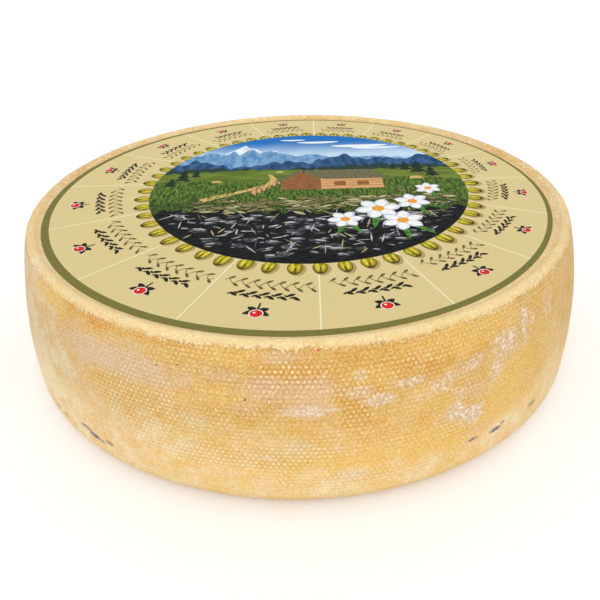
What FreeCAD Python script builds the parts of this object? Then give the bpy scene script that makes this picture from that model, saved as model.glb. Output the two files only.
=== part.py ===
"""A whole wheel of semi-hard alpine cheese with a round paper label on its upper face.

Millimetres. +Z is up, and the origin is the middle of the flat underside, which the wheel lies on.
The wheel is one solid, turned about Z: a flat base, a foot that rolls up into the bellied side, a
narrow rounded rim that stands a little proud, and the flat upper face inside it. The label is a thin
paper disc that lies face to face on that upper face, a little off the wheel's axis.
"""

import FreeCAD, Part
import math
import os

import Sketcher
from FreeCAD import Vector

# Driving dimensions: alias, value in millimetres, meaning.
SIZES = [
    ("wheel_diameter", 300.0, "across the belly, the widest place"),
    ("wheel_height", 85.0, "from the underside to the top of the rim"),
    ("side_curve", 200.0, "radius of the side's upright curve"),
    ("belly_level", 28.0, "height of the widest place above the underside"),
    ("foot_height", 12.0, "height at which the side turns in to the foot"),
    ("foot_round", 8.0, "radius of the foot's corner"),
    ("foot_inset", 18.0, "from the belly in to the edge of the flat underside"),
    ("rim_round", 3.5, "radius of the rim's rounded top"),
    ("rim_fillet", 2.5, "radius of the hollow between the rim and the upper face"),
    ("rim_lift", 1.2, "height of the rim above the upper face"),
    ("label_margin", 0.0536, "bare rind between the label and the rim's hollow, at its narrowest"),
    ("label_thickness", 0.25, "paper, print and glue"),
    ("label_shift_right", -0.7, "label's middle from the axis along X"),
    ("label_shift_back", -1.6, "label's middle from the axis along Y"),
]

SHEET = "Sizes"
BELLY_RADIUS = "Sizes.wheel_diameter / 2"
FACE_LEVEL = "(Sizes.wheel_height - Sizes.rim_lift)"
# The upper face ends where the hollow starts: the rim's middle less the hollow's width.
RIM_RISE = "(Sizes.wheel_height - Sizes.rim_round - Sizes.belly_level)"
RIM_REACH = f"sqrt((Sizes.side_curve - Sizes.rim_round)^2 - {RIM_RISE}^2)"
HOLLOW_WIDTH = "sqrt(Sizes.rim_lift * (2 * (Sizes.rim_round + Sizes.rim_fillet) - Sizes.rim_lift))"
FACE_RADIUS = f"{BELLY_RADIUS} - Sizes.side_curve + {RIM_REACH} - {HOLLOW_WIDTH}"
# The label shrinks as it moves off the axis, so it stays on the flat of the upper face.
LABEL_SHIFT = "sqrt(Sizes.label_shift_right^2 + Sizes.label_shift_back^2)"

# Sketcher's numbers for the ends and centre of an edge, and for the sketch's own origin.
START, END, CENTRE = 1, 2, 3
ORIGIN = -1


def make_sheet(doc):
    """Writes the driving dimensions into a spreadsheet, one alias for each."""
    sheet = doc.addObject("Spreadsheet::Sheet", SHEET)
    for row, (alias, value, meaning) in enumerate(SIZES, start=1):
        sheet.set(f"A{row}", meaning)
        sheet.set(f"B{row}", str(value))
        sheet.setAlias(f"B{row}", alias)
    doc.recompute()
    return sheet


def body_with_sketch(doc, label, plane_role):
    """A body and an empty sketch on one of its own origin planes."""
    body = doc.addObject("PartDesign::Body", label.capitalize() + "Body")
    body.Label = label
    plane = next(item for item in body.Origin.OriginFeatures if item.Role == plane_role)
    sketch = body.newObject("Sketcher::SketchObject", label.capitalize() + "Sketch")
    sketch.AttachmentSupport = [(plane, "")]
    sketch.MapMode = "FlatFace"
    return body, sketch


def add_size(sketch, name, formula, kind, *places):
    """Adds a named length to a sketch, which follows a formula of the spreadsheet's sizes."""
    start_value = sketch.evalExpression(formula)
    index = sketch.addConstraint(Sketcher.Constraint(kind, *places, float(start_value)))
    sketch.renameConstraint(index, name)
    sketch.setExpression(f"Constraints.{name}", formula)


def arc(centre, radius, first, last):
    """The arc about centre that runs anticlockwise from the point first to the point last."""
    from_angle = math.atan2(first.y - centre.y, first.x - centre.x)
    to_angle = math.atan2(last.y - centre.y, last.x - centre.x)
    circle = Part.Circle(centre, Vector(0, 0, 1), radius)
    return Part.ArcOfCircle(circle, from_angle, to_angle)


def towards(start, end, distance):
    """The point at a distance from start, on the way to end and beyond it."""
    return start + (end - start).normalize() * distance


def profile_curves(sheet):
    """Half the wheel's section, x outwards and y up, as the sketch's eight edges in order.

    Each arc's centre is worked out from the one before it, so that neighbours are tangent.
    """
    side_centre = Vector(sheet.wheel_diameter / 2 - sheet.side_curve, sheet.belly_level)

    foot_slope = math.asin((sheet.foot_height - sheet.belly_level) / sheet.side_curve)
    foot_way = Vector(math.cos(foot_slope), math.sin(foot_slope))
    foot_top = side_centre + foot_way * sheet.side_curve
    foot_centre = foot_top - foot_way * sheet.foot_round

    base_edge = Vector(sheet.wheel_diameter / 2 - sheet.foot_inset, 0)
    across = foot_centre.x - base_edge.x
    sweep_radius = (across**2 + foot_centre.y**2 - sheet.foot_round**2) / (
        2 * (foot_centre.y - sheet.foot_round)
    )
    sweep_centre = base_edge + Vector(0, sweep_radius)
    foot_bottom = towards(sweep_centre, foot_centre, sweep_radius)

    rim_level = sheet.wheel_height - sheet.rim_round
    rim_reach = sheet.side_curve - sheet.rim_round
    rim_out = math.sqrt(rim_reach**2 - (rim_level - side_centre.y) ** 2)
    rim_centre = Vector(side_centre.x + rim_out, rim_level)
    rim_outside = towards(side_centre, rim_centre, sheet.side_curve)

    face_level = sheet.wheel_height - sheet.rim_lift
    rounds = sheet.rim_round + sheet.rim_fillet
    hollow_in = math.sqrt(rounds**2 - (rounds - sheet.rim_lift) ** 2)
    hollow_centre = Vector(rim_centre.x - hollow_in, face_level + sheet.rim_fillet)
    rim_inside = towards(rim_centre, hollow_centre, sheet.rim_round)
    face_edge = Vector(hollow_centre.x, face_level)
    face_middle = Vector(0, face_level)
    base_middle = Vector(0, 0)

    return [
        Part.LineSegment(base_middle, base_edge),
        arc(sweep_centre, sweep_radius, base_edge, foot_bottom),
        arc(foot_centre, sheet.foot_round, foot_bottom, foot_top),
        arc(side_centre, sheet.side_curve, foot_top, rim_outside),
        arc(rim_centre, sheet.rim_round, rim_outside, rim_inside),
        arc(hollow_centre, sheet.rim_fillet, face_edge, rim_inside),
        Part.LineSegment(face_edge, face_middle),
        Part.LineSegment(face_middle, base_middle),
    ]


def make_wheel(doc, sheet):
    """The cheese in its rind, turned about Z from its half section."""
    body, sketch = body_with_sketch(doc, "wheel", "XZ_Plane")
    base, sweep, foot, side, rim, hollow, face, axis = sketch.addGeometry(profile_curves(sheet))
    for constraint in [
        ("Coincident", base, START, ORIGIN, START),
        ("Coincident", face, END, axis, START),
        ("Coincident", axis, END, base, START),
        ("Horizontal", base),
        ("Horizontal", face),
        ("Vertical", axis),
        ("Tangent", base, END, sweep, START),
        ("Tangent", sweep, END, foot, START),
        ("Tangent", foot, END, side, START),
        ("Tangent", side, END, rim, START),
        ("Tangent", rim, END, hollow, END),
        ("Tangent", hollow, START, face, START),
    ]:
        sketch.addConstraint(Sketcher.Constraint(*constraint))

    middle = (ORIGIN, START)
    for name, formula, kind, *places in [
        ("base_radius", f"{BELLY_RADIUS} - Sizes.foot_inset", "DistanceX", *middle, base, END),
        ("foot_round", "Sizes.foot_round", "Radius", foot),
        ("foot_height", "Sizes.foot_height", "DistanceY", *middle, side, START),
        ("side_curve", "Sizes.side_curve", "Radius", side),
        ("side_centre", f"{BELLY_RADIUS} - Sizes.side_curve", "DistanceX", *middle, side, CENTRE),
        ("belly_level", "Sizes.belly_level", "DistanceY", *middle, side, CENTRE),
        ("rim_round", "Sizes.rim_round", "Radius", rim),
        ("rim_level", "Sizes.wheel_height - Sizes.rim_round", "DistanceY", *middle, rim, CENTRE),
        ("rim_fillet", "Sizes.rim_fillet", "Radius", hollow),
        ("face_level", FACE_LEVEL, "DistanceY", *middle, face, END),
    ]:
        add_size(sketch, name, formula, kind, *places)

    turn = body.newObject("PartDesign::Revolution", "WheelTurn")
    turn.Profile = sketch
    turn.ReferenceAxis = (sketch, ["V_Axis"])
    turn.Angle = 360
    return body


def make_label(doc):
    """The paper label: a disc that lies on the upper face, inside the rim's hollow."""
    body, sketch = body_with_sketch(doc, "label", "XY_Plane")
    sketch.addGeometry(Part.Circle(Vector(0, 0, 0), Vector(0, 0, 1), 100))
    sketch.addConstraint(Sketcher.Constraint("Coincident", 0, CENTRE, ORIGIN, START))
    add_size(sketch, "label_radius", f"{FACE_RADIUS} - {LABEL_SHIFT} - Sizes.label_margin", "Radius", 0)

    pad = body.newObject("PartDesign::Pad", "LabelPad")
    pad.Profile = sketch
    pad.setExpression("Length", "Sizes.label_thickness")

    body.setExpression("Placement.Base.x", "Sizes.label_shift_right")
    body.setExpression("Placement.Base.y", "Sizes.label_shift_back")
    body.setExpression("Placement.Base.z", FACE_LEVEL)
    return body


def check(doc, pieces):
    """Stops if an object failed, a sketch is loose, or a piece isn't one sound solid."""
    for item in doc.Objects:
        if {"Invalid", "Error"} & set(item.State):
            raise RuntimeError(f"{item.Label} failed: {item.State}")
    for sketch in doc.findObjects("Sketcher::SketchObject"):
        if sketch.solve() != 0 or not sketch.FullyConstrained:
            raise RuntimeError(f"{sketch.Label} isn't fully constrained")
    for piece in pieces:
        shape = piece.Shape
        if shape.isNull() or not shape.isValid() or len(shape.Solids) != 1:
            raise RuntimeError(f"{piece.Label} isn't one sound solid")


def main():
    doc = FreeCAD.newDocument("CheeseWheel")
    sheet = make_sheet(doc)
    pieces = [make_wheel(doc, sheet), make_label(doc)]
    doc.recompute()
    check(doc, pieces)
    os.makedirs("parts", exist_ok=True)
    for piece in pieces:
        piece.Shape.exportStep(f"parts/{piece.Label}.step")
        box = piece.Shape.optimalBoundingBox()
        print(f"{piece.Label}: {box.XLength:.2f} x {box.YLength:.2f} x {box.ZLength:.2f} mm,", end=" ")
        print(f"z {box.ZMin:.2f} to {box.ZMax:.2f}, {piece.Shape.Volume / 1e6:.4f} litres")


main()
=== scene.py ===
"""The looks of a whole wheel of alpine cheese: its cloth-marked rind and its printed paper label.

Everything is in metres in the frame's own axes: +Z is up, the origin is the middle of the underside
and -Y is the shown front. Azimuths are in degrees about Z, from +X, so the front is at -90.
"""

import math
import random

import bpy
import numpy as np
from mathutils import Matrix, Vector


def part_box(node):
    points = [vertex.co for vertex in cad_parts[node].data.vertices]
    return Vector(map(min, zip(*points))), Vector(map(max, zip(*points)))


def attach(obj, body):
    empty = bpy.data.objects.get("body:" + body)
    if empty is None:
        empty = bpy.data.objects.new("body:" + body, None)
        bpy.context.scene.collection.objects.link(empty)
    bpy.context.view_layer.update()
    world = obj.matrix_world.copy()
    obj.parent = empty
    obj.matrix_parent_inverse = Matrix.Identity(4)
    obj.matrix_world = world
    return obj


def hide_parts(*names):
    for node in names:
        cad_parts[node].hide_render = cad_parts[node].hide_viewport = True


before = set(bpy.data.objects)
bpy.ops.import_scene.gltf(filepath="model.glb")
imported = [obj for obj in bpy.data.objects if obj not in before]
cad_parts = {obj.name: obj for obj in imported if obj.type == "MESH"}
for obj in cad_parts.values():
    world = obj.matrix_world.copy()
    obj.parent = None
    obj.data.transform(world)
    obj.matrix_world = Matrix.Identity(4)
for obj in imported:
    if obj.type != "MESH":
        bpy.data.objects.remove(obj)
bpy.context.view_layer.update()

MM = 0.001
WHEEL_LOW, WHEEL_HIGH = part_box("wheel")
LABEL_LOW, LABEL_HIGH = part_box("label")
BELLY = (WHEEL_HIGH[0] - WHEEL_LOW[0]) / 2 / MM
HEIGHT = (WHEEL_HIGH[2] - WHEEL_LOW[2]) / MM
LABEL_RADIUS = (LABEL_HIGH[0] - LABEL_LOW[0]) / 2 / MM
LABEL_MIDDLE = [(low + high) / 2 / MM for low, high in zip(LABEL_LOW, LABEL_HIGH)][:2]
LABEL_TOP = LABEL_HIGH[2] / MM
FACE_LEVEL = LABEL_LOW[2] / MM

# The wheel's half section, in millimetres: the same arcs as the solid's.
SIDE_CURVE = 200.0
BELLY_LEVEL = 28.0
FOOT_HEIGHT = 12.0
FOOT_ROUND = 8.0
FOOT_INSET = 18.0
RIM_ROUND = 3.5
RIM_FILLET = 2.5

# The cheesecloth's print on the rind: bumps in rows, each row half a pitch along from the last.
BUMPS_ROUND = 410
ROW_PITCH = 2.05
RELIEF = 0.30


# ---------------------------------------------------------------- helpers


def colour(red, green, blue):
    """A screen colour, 0 to 255, as the linear colour that a material takes."""
    linear = []
    for level in (red, green, blue):
        level /= 255
        linear.append(level / 12.92 if level <= 0.04045 else ((level + 0.055) / 1.055) ** 2.4)
    return (*linear, 1.0)


def smooth(start, end, value):
    """0 at start, 1 at end, eased at both, for numbers or arrays."""
    share = np.clip((value - start) / (end - start), 0, 1)
    return share * share * (3 - 2 * share)


def soft_noise(points, size, seed):
    """Smooth noise from -1 to 1 at points in millimetres, with lumps about size across."""
    cells = 64
    lattice = np.random.default_rng(seed).uniform(-1, 1, (cells, cells, cells))
    place = np.asarray(points) / size + 1000.5
    corner = np.floor(place).astype(int)
    part = place - corner
    part = part * part * (3 - 2 * part)
    total = np.zeros(len(place))
    for step in np.ndindex(2, 2, 2):
        index = (corner + step) % cells
        weight = np.prod(np.where(step, part, 1 - part), axis=1)
        total += weight * lattice[index[:, 0], index[:, 1], index[:, 2]]
    return total


def layered_noise(points, size, seed):
    """Three sizes of soft noise added, each half as large and as strong as the last."""
    total = sum(soft_noise(points, size / 2**k, seed + k) / 2**k for k in range(3))
    return total / 1.75


def mesh_object(name, vertices, faces, materials, slot_of_face=None, smooth_faces=True):
    """A mesh piece from places in millimetres."""
    mesh = bpy.data.meshes.new(name)
    mesh.from_pydata([tuple(c * MM for c in v) for v in vertices], [], faces)
    for material in materials:
        mesh.materials.append(material)
    if slot_of_face is not None:
        mesh.polygons.foreach_set("material_index", slot_of_face)
    mesh.polygons.foreach_set("use_smooth", [smooth_faces] * len(faces))
    mesh.update()
    piece = bpy.data.objects.new(name, mesh)
    bpy.context.scene.collection.objects.link(piece)
    return piece


class Shader:
    """A material and short calls that add nodes to it."""

    def __init__(self, name, roughness=0.6, specular=0.3):
        self.material = bpy.data.materials.new(name)
        self.material.use_nodes = True
        self.tree = self.material.node_tree
        self.surface = self.tree.nodes["Principled BSDF"]
        self.surface.inputs["Roughness"].default_value = roughness
        self.surface.inputs["Specular IOR Level"].default_value = specular

    def node(self, kind, inputs=(), **settings):
        """A node with its settings, and its inputs given by name or number: a value or a socket."""
        made = self.tree.nodes.new("ShaderNode" + kind)
        for key, value in settings.items():
            setattr(made, key, value)
        for key, value in dict(inputs).items():
            self.feed(made.inputs[key], value)
        return made

    def feed(self, socket, value):
        if isinstance(value, bpy.types.NodeSocket):
            self.tree.links.new(value, socket)
        else:
            socket.default_value = value

    def math(self, operation, first, second=0.0, third=0.0):
        made = self.node("Math", {0: first, 1: second, 2: third}, operation=operation)
        return made.outputs[0]

    def span(self, value, low, high, to_low=0.0, to_high=1.0):
        """Maps low..high to to_low..to_high with eased ends."""
        inputs = {"Value": value, "From Min": low, "From Max": high, "To Min": to_low, "To Max": to_high}
        return self.node("MapRange", inputs, interpolation_type="SMOOTHSTEP").outputs[0]

    def mix(self, share, first, second, blend="MIX"):
        made = self.node("Mix", data_type="RGBA", blend_type=blend, clamp_factor=True)
        self.feed(made.inputs["Factor"], share)
        self.feed(made.inputs[6], first)
        self.feed(made.inputs[7], second)
        return made.outputs[2]

    def noise(self, place, scale, detail=2.0, distortion=0.0):
        inputs = {"Vector": place, "Scale": scale, "Detail": detail, "Distortion": distortion}
        return self.node("TexNoise", inputs).outputs["Fac"]

    def attribute(self, name):
        return self.node("Attribute", attribute_name=name).outputs["Fac"]

    def place(self):
        """The piece's own coordinates, in millimetres."""
        own = self.node("TexCoord").outputs["Object"]
        return self.node("VectorMath", {0: own, "Scale": 1 / MM}, operation="SCALE").outputs[0]

    def split(self, place):
        made = self.node("SeparateXYZ", {0: place})
        return made.outputs[0], made.outputs[1], made.outputs[2]

    def join(self, x, y, z):
        return self.node("CombineXYZ", {0: x, 1: y, 2: z}).outputs[0]

    def finish(self, base, roughness=None, height=None, depth=0.1):
        """Links the colour, and if given the roughness and a bump of that depth in millimetres."""
        self.feed(self.surface.inputs["Base Color"], base)
        if roughness is not None:
            self.feed(self.surface.inputs["Roughness"], roughness)
        if height is not None:
            bump = self.node("Bump", {"Strength": 1.0, "Distance": depth * MM, "Height": height})
            self.feed(self.surface.inputs["Normal"], bump.outputs[0])
        return self.material


# ---------------------------------------------------------------- the rind's mesh


def arc_points(centre, radius, start, end, step):
    """Points about every step along the shorter arc from the angle start to the angle end."""
    count = max(2, round(abs(end - start) * radius / step))
    angles = [start + (end - start) * k / count for k in range(count)]
    return [(centre[0] + radius * math.cos(a), centre[1] + radius * math.sin(a)) for a in angles]


def section():
    """The wheel's outside from the edge of the underside up to the edge of the upper face."""
    side = (BELLY - SIDE_CURVE, BELLY_LEVEL)
    foot_slope = math.asin((FOOT_HEIGHT - BELLY_LEVEL) / SIDE_CURVE)
    reach = SIDE_CURVE - FOOT_ROUND
    foot = (side[0] + reach * math.cos(foot_slope), side[1] + reach * math.sin(foot_slope))
    base_edge = BELLY - FOOT_INSET
    sweep_radius = ((foot[0] - base_edge) ** 2 + foot[1] ** 2 - FOOT_ROUND**2) / (
        2 * (foot[1] - FOOT_ROUND)
    )
    sweep = (base_edge, sweep_radius)
    foot_start = math.atan2(foot[1] - sweep[1], foot[0] - sweep[0])
    rim_level = HEIGHT - RIM_ROUND
    rim_slope = math.asin((rim_level - side[1]) / (SIDE_CURVE - RIM_ROUND))
    rim = (side[0] + (SIDE_CURVE - RIM_ROUND) * math.cos(rim_slope), rim_level)
    rounds = RIM_ROUND + RIM_FILLET
    hollow_level = FACE_LEVEL + RIM_FILLET
    hollow = (rim[0] - math.sqrt(rounds**2 - (hollow_level - rim_level) ** 2), hollow_level)
    rim_end = math.atan2(hollow[1] - rim[1], hollow[0] - rim[0])

    half_row = ROW_PITCH / 2
    points = arc_points(sweep, sweep_radius, -math.pi / 2, foot_start, half_row * 1.5)
    points += arc_points(foot, FOOT_ROUND, foot_start, foot_slope, half_row)
    points += arc_points(side, SIDE_CURVE, foot_slope, rim_slope, half_row)
    points += arc_points(rim, RIM_ROUND, rim_slope, rim_end, half_row * 0.7)
    points += arc_points(hollow, RIM_FILLET, rim_end - math.pi, -math.pi / 2, half_row * 0.7)
    points.append((hollow[0], FACE_LEVEL))
    return np.array(points)


# Marks on the rind: azimuth and height of the middle, half width in degrees, half height, strength.
STRONG_CLOTH = [
    (-91, 72, 8, 7, 1.0),
    (-84, 77, 10, 3, 0.4),
    (-97, 69, 6, 6, 0.7),
    (-104, 33, 15, 8, 0.95),
    (-95, 33, 9, 7, 1.3),
    (-117, 50, 12, 20, 0.75),
    (-90, 36, 8, 9, 0.8),
    (-82, 21, 9, 4, 0.9),
    (-72, 72, 12, 9, 0.6),
    (-64, 58, 9, 16, 0.35),
]
SMOOTH_PATCHES = [
    (-88, 52, 6, 8, 0.9),
    (-81, 31, 12, 4, 0.9),
    (-97, 26, 7, 3, 0.7),
    (-114, 21, 18, 6, 0.85),
    (-128, 66, 12, 6, 0.6),
    (-60, 27, 9, 4, 0.7),
    (-40, 50, 13, 36, 0.7),
    (-150, 50, 14, 50, 0.8),
]
WARM = [
    (-84, 72, 26, 22, 0.30),
    (-66, 74, 14, 10, 0.25),
    (-100, 60, 7, 14, 0.25),
    (-66, 42, 18, 22, 0.15),
    (-50, 50, 4, 6, 0.25),
    (-122, 81, 18, 3, 0.25),
]
COOL = [
    (-152, 46, 17, 46, 0.95),
    (-120, 32, 13, 14, 0.35),
    (-124, 67, 17, 8, 0.35),
    (-138, 30, 12, 30, 0.35),
    (-90, 58, 5, 5, 0.35),
    (-103, 70, 5, 4, 0.15),
    (-92, 40, 5, 6, 0.15),
    (-34, 34, 8, 26, 0.25),
    (-52, 20, 10, 8, 0.20),
]
PINK = [
    (-124, 67, 16, 8, 1.0),
    (-92, 66, 9, 7, 1.0),
    (-93, 79.5, 5, 3, 0.8),
    (-90, 57.5, 5, 5, 0.8),
    (-99, 57, 3, 4, 0.6),
    (-103, 71, 4, 4, 0.6),
    (-91, 41, 3, 4, 0.35),
    (-53, 63, 6, 8, 0.45),
    (-60, 50, 4, 5, 0.6),
    (-64, 41, 6, 7, 0.4),
    (-59, 29, 4, 4, 0.5),
]
BLOOM = [
    (-53.2, 66, 3.4, 6, 1.0),
    (-48.8, 69, 1.5, 7, 0.9),
    (-46.4, 70, 0.9, 5, 0.7),
    (-62.0, 63.5, 2.6, 4, 0.75),
    (-56.8, 56, 2.4, 5, 0.65),
    (-67.0, 60, 2.2, 5, 0.5),
    (-61.2, 38.5, 2.8, 4.5, 1.0),
    (-64.8, 44.5, 2.2, 6, 0.9),
    (-63.6, 52, 2.0, 4, 0.5),
    (-72.8, 64.5, 2.8, 3.2, 0.95),
    (-69.6, 57, 3.0, 3, 0.25),
    (-81.2, 63, 2.2, 2.6, 0.7),
    (-78.0, 58.5, 3.0, 2.6, 1.0),
    (-81.2, 70.5, 1.2, 2.4, 0.6),
    (-85.2, 56.5, 1.8, 1.2, 0.5),
    (-89.4, 56, 2.8, 1.8, 0.9),
    (-82.0, 23, 3.4, 1.9, 0.7),
    (-41, 71, 2.0, 9, 0.3),
    (-96, 34, 1.6, 2.2, 0.5),
]
GOLD = [
    (-82, 31, 13, 5, 1.0),
    (-68, 31, 11, 9, 1.0),
    (-88, 63, 4, 4, 0.5),
    (-112, 26, 10, 4, 0.5),
    (-52, 46, 8, 20, 0.9),
    (-66, 45, 5, 10, 0.4),
    (-60, 77, 18, 8, 0.7),
    (-85, 46, 6, 5, 0.25),
    (-110, 59, 8, 4, 0.4),
    (-101, 62, 6, 6, 0.55),
    (-102, 79, 9, 4, 0.6),
    (-80, 70, 6, 5, 0.5),
    (-142, 79, 9, 6, 0.8),
    (-42, 50, 7, 16, 0.45),
    (-70, 55, 7, 10, 0.5),
]


def on_the_back(spots, count, seed, sizes, heights, strengths=(0.5, 1.0)):
    """The given spots, and more of their kind on the side that faces away from the front."""
    draw = random.Random(seed)
    more = []
    for _ in range(count):
        azimuth = draw.uniform(-20, 200)
        level = draw.uniform(*heights)
        width = draw.uniform(*sizes)
        height = width * draw.uniform(0.7, 1.5)
        more.append((azimuth, level, width, height, draw.uniform(*strengths)))
    return spots + more


def spot_mask(places, azimuth, level, spots, seed, ragged=0.45):
    """0 to 1: how far each place lies in the spots, whose edges are ragged by noise."""
    edge = ragged * layered_noise(places, 9.0, seed)
    mask = np.zeros(len(places))
    for middle, height, half_width, half_height, strength in spots:
        across = ((azimuth - middle + 180) % 360 - 180) / half_width
        reach = np.hypot(across, (level - height) / half_height) + edge
        mask = np.maximum(mask, strength * smooth(1.2, 0.4, reach))
    return mask


def rind_marks(places, azimuth, level):
    """The named masks that the rind's material reads, as arrays over the mesh's points."""

    def mask(spots, seed, ragged=0.45):
        return spot_mask(places, azimuth, level, spots, seed, ragged)

    radius = np.hypot(places[:, 0], places[:, 1])
    on_side = smooth(133, 140, radius) * smooth(HEIGHT + 0.5, HEIGHT - 3.5, level)
    under = smooth(132, 120, radius) * (level < HEIGHT / 2)
    broad = layered_noise(places, 30.0, 40)
    patchy = layered_noise(places, 14.0, 42)
    cool = mask(on_the_back(COOL, 6, 5, (8, 16), (20, 70), (0.2, 0.5)), 24, 0.7)
    smooth_patch = mask(on_the_back(SMOOTH_PATCHES, 8, 9, (6, 13), (25, 70)), 30)
    cloth = np.clip(0.28 + 0.5 * broad + 0.40 * patchy, 0.06, 0.75)
    cloth = np.maximum(cloth, mask(on_the_back(STRONG_CLOTH, 9, 3, (8, 16), (30, 72)), 20))
    cloth *= smooth(12, 20, level + 3 * broad) * (1 - 0.8 * smooth_patch) * (1 - 0.6 * cool) * on_side
    cloth = np.maximum(cloth, under * np.clip(0.25 + 0.5 * broad, 0, 0.6))

    # The side runs warmer towards the top and paler towards the foot and the underside.
    warm = 0.56 + 0.16 * smooth(30, 78, level) - 0.10 * smooth(34, 16, level)
    warm += mask(on_the_back(WARM, 6, 7, (10, 22), (40, 76)), 22) - 0.8 * cool
    warm += 0.16 * broad + 0.10 * patchy - 0.15 * under
    bloom = mask(on_the_back(BLOOM, 16, 13, (1.5, 5), (25, 72)), 32, 0.9)
    uneven = 1.1 * layered_noise(places, 9.0, 52) + 0.5 * layered_noise(places, 2.5, 56)
    rim = smooth(HEIGHT - 4.0, HEIGHT + 0.2, level + uneven)
    return {
        "cloth": cloth,
        "warm": np.clip(warm, 0, 1),
        "light": np.maximum(smooth(58, 22, level + 6 * broad), under),
        "pink": mask(on_the_back(PINK, 8, 11, (6, 15), (35, 72)), 28),
        "bloom": bloom,
        "gold": mask(on_the_back(GOLD, 7, 17, (8, 16), (22, 60)), 36),
        "rim": rim * (1 - 0.35 * smooth(-40, 60, places[:, 1])) * (1 - 0.32 * smooth(60, 140, abs(places[:, 0]))),
    }


def make_rind(material):
    """The whole outside of the cheese: relief of the cloth, rim, foot, underside and upper face."""
    outline = section()
    columns = 2 * BUMPS_ROUND
    rows = len(outline)
    along = np.concatenate([[0], np.cumsum(np.hypot(*np.diff(outline, axis=0).T))])
    tangent = np.gradient(outline, axis=0)
    tangent /= np.hypot(*tangent.T)[:, None]
    outwards = np.stack([tangent[:, 1], -tangent[:, 0]], axis=1)

    side_first = int(np.argmin(np.abs(outline[:, 1] - FOOT_HEIGHT) + (outline[:, 0] < BELLY - 8) * 99))
    turn = 2 * np.pi * np.arange(columns) / columns - np.pi / 2
    row_index, column_index = np.meshgrid(np.arange(rows), np.arange(columns), indexing="ij")
    radius = outline[:, 0][row_index]
    level = outline[:, 1][row_index]
    angle = turn[column_index]
    flat = np.stack([radius * np.cos(angle), radius * np.sin(angle), level], -1).reshape(-1, 3)

    # The cloth's threads wander a little over the rind.
    on_side = smooth(FOOT_HEIGHT, FOOT_HEIGHT + 8, level) * smooth(HEIGHT - 2, HEIGHT - 12, level)
    wander_up = 1.6 * layered_noise(flat, 70.0, 60).reshape(rows, columns) * on_side
    wander_round = 0.010 * layered_noise(flat, 60.0, 64).reshape(rows, columns) * on_side
    shifted = np.clip(along[row_index] + wander_up, 0, along[-1])
    angle = angle + wander_round
    radius = np.interp(shifted, along, outline[:, 0])
    level = np.interp(shifted, along, outline[:, 1])
    places = np.stack([radius * np.cos(angle), radius * np.sin(angle), level], -1).reshape(-1, 3)
    azimuth = np.degrees(angle).reshape(-1)
    marks = rind_marks(places, azimuth, level.reshape(-1))

    # Bumps stand where the shader draws them: u counts bumps round, v counts rows up.
    u = column_index / 2.0
    v = (row_index - side_first) / 2.0
    peaks = np.where(row_index % 2 == side_first % 2, np.cos(2 * np.pi * u) * np.cos(np.pi * v), -0.35)
    swell = 0.35 * layered_noise(places, 45.0, 70) + 0.16 * layered_noise(places, 9.0, 74)
    rim = marks["rim"] * (0.22 * layered_noise(places, 6.0, 78))
    held = smooth(136.2, 138.5, radius).reshape(-1)
    held = np.where(level.reshape(-1) > HEIGHT / 2, held, smooth(0, 3, level).reshape(-1))
    lift = RELIEF / 2 * peaks.reshape(-1) * marks["cloth"] + (swell + rim) * held
    way = outwards[row_index].reshape(-1, 2)
    places[:, 0] += lift * way[:, 0] * np.cos(angle).reshape(-1)
    places[:, 1] += lift * way[:, 0] * np.sin(angle).reshape(-1)
    places[:, 2] = np.maximum(places[:, 2] + lift * way[:, 1], 0.0)

    vertices = [tuple(place) for place in places]
    faces = []
    for row in range(rows - 1):
        low, high = row * columns, (row + 1) * columns
        faces += [(low + k, low + (k + 1) % columns, high + (k + 1) % columns, high + k) for k in range(columns)]
    side_faces = len(faces)
    add_cap(vertices, faces, 0, columns, outline[0], [0.93, 0.8, 0.6, 0.35, 0.1], upwards=False)
    add_cap(vertices, faces, (rows - 1) * columns, columns, outline[-1], [0.9, 0.5, 0.1], upwards=True)

    piece = mesh_object("rind", vertices, faces, [material])
    caps = np.array(vertices[len(places):])
    cap_marks = rind_marks(caps, np.degrees(np.arctan2(caps[:, 1], caps[:, 0])), caps[:, 2])
    for name, values in marks.items():
        layer = piece.data.attributes.new(name, "FLOAT", "POINT")
        layer.data.foreach_set("value", np.concatenate([values, cap_marks[name]]).astype(np.float32))
    write_cloth_map(piece.data, columns, side_first, side_faces)
    return piece


def add_cap(vertices, faces, first, columns, edge, shares, upwards):
    """Closes the ring that starts at the vertex first with rings at shares of its radius."""
    radius, level = edge
    ring = first
    for share in shares:
        start = len(vertices)
        for k in range(columns):
            turn = 2 * math.pi * k / columns - math.pi / 2
            vertices.append((radius * share * math.cos(turn), radius * share * math.sin(turn), level))
        for k in range(columns):
            after = (k + 1) % columns
            face = (ring + k, ring + after, start + after, start + k)
            faces.append(face if upwards else face[::-1])
        ring = start
    middle = len(vertices)
    vertices.append((0.0, 0.0, level))
    for k in range(columns):
        face = (ring + k, ring + (k + 1) % columns, middle)
        faces.append(face if upwards else face[::-1])


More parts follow.
